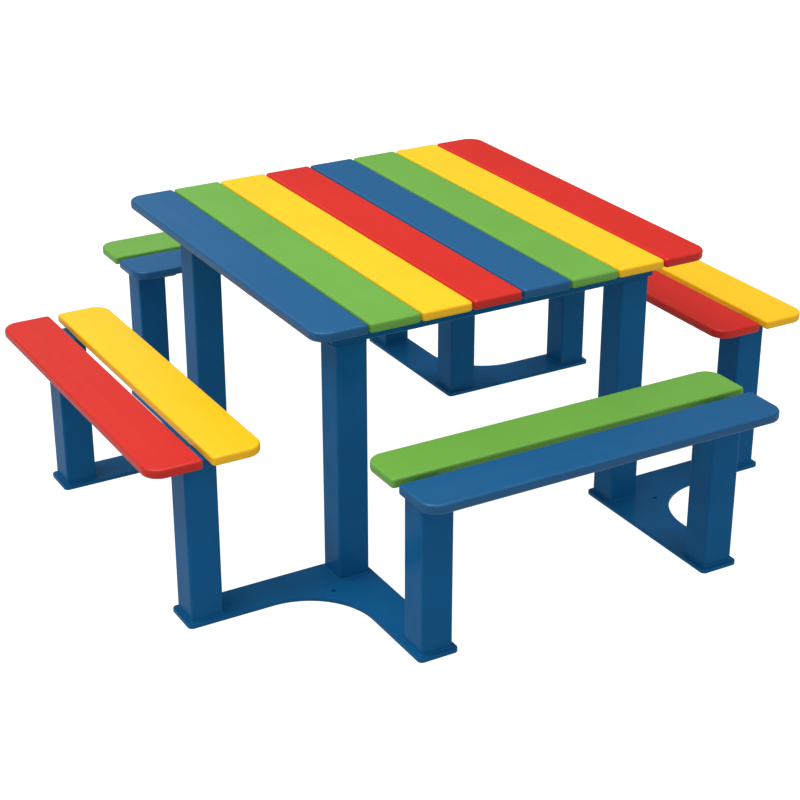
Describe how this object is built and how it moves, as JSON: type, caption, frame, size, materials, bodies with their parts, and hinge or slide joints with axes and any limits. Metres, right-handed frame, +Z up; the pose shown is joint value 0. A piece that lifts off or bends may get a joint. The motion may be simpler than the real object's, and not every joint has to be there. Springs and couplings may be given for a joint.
{
  "type": "picnic table",
  "caption": "Square children's picnic table: coloured plank top and fixed plank benches on every side, on square steel legs that stand on flat L-shaped ground plates.",
  "frame": {"origin": "on the ground, under the middle of the table top", "axes": "+Z up; X along the front bench and Y along the table planks, so -Y is the front"},
  "size_m": [1.3805, 1.3804, 0.5255],
  "materials": {
    "plank_blue": "fine satin, through-coloured",
    "plank_green": "fine satin, through-coloured",
    "plank_yellow": "fine satin, through-coloured",
    "plank_red": "fine satin, through-coloured",
    "steel_tube_and_plate": "semi-gloss blue powder coat",
    "bolt_stainless_steel": "plain stainless steel"
  },
  "bodies": {
    "root": {"table_plank_1_blue": "plank_blue", "table_plank_2_green": "plank_green", "table_plank_3_yellow": "plank_yellow", "table_plank_4_red": "plank_red", "table_plank_5_blue": "plank_blue", "table_plank_6_green": "plank_green", "table_plank_7_yellow": "plank_yellow", "table_plank_8_red": "plank_red", "left_bench_outer_plank_red": "plank_red", "left_bench_inner_plank_yellow": "plank_yellow", "right_bench_outer_plank_yellow": "plank_yellow", "right_bench_inner_plank_red": "plank_red", "front_bench_outer_plank_blue": "plank_blue", "front_bench_inner_plank_green": "plank_green", "back_bench_outer_plank_green": "plank_green", "back_bench_inner_plank_blue": "plank_blue", "table_leg_front_left": "steel_tube_and_plate", "table_leg_front_right": "steel_tube_and_plate", "table_leg_back_left": "steel_tube_and_plate", "table_leg_back_right": "steel_tube_and_plate", "ground_plate_front_left": "steel_tube_and_plate", "ground_plate_front_right": "steel_tube_and_plate", "ground_plate_back_left": "steel_tube_and_plate", "ground_plate_back_right": "steel_tube_and_plate", "left_bench_leg_1": "steel_tube_and_plate", "left_bench_bracket_1": "steel_tube_and_plate", "left_bench_leg_2": "steel_tube_and_plate", "left_bench_bracket_2": "steel_tube_and_plate", "right_bench_leg_1": "steel_tube_and_plate", "right_bench_bracket_1": "steel_tube_and_plate", "right_bench_leg_2": "steel_tube_and_plate", "right_bench_bracket_2": "steel_tube_and_plate", "front_bench_leg_1": "steel_tube_and_plate", "front_bench_bracket_1": "steel_tube_and_plate", "front_bench_leg_2": "steel_tube_and_plate", "front_bench_bracket_2": "steel_tube_and_plate", "back_bench_leg_1": "steel_tube_and_plate", "back_bench_bracket_1": "steel_tube_and_plate", "back_bench_leg_2": "steel_tube_and_plate", "back_bench_bracket_2": "steel_tube_and_plate", "cross_beam_front": "steel_tube_and_plate", "slat_rail_front": "steel_tube_and_plate", "table_bolt_front_1": "bolt_stainless_steel", "table_bolt_front_2": "bolt_stainless_steel", "table_bolt_front_3": "bolt_stainless_steel", "table_bolt_front_4": "bolt_stainless_steel", "table_bolt_front_5": "bolt_stainless_steel", "table_bolt_front_6": "bolt_stainless_steel", "table_bolt_front_7": "bolt_stainless_steel", "table_bolt_front_8": "bolt_stainless_steel", "cross_beam_back": "steel_tube_and_plate", "slat_rail_back": "steel_tube_and_plate", "table_bolt_back_1": "bolt_stainless_steel", "table_bolt_back_2": "bolt_stainless_steel", "table_bolt_back_3": "bolt_stainless_steel", "table_bolt_back_4": "bolt_stainless_steel", "table_bolt_back_5": "bolt_stainless_steel", "table_bolt_back_6": "bolt_stainless_steel", "table_bolt_back_7": "bolt_stainless_steel", "table_bolt_back_8": "bolt_stainless_steel"}
  },
  "joints": []
}
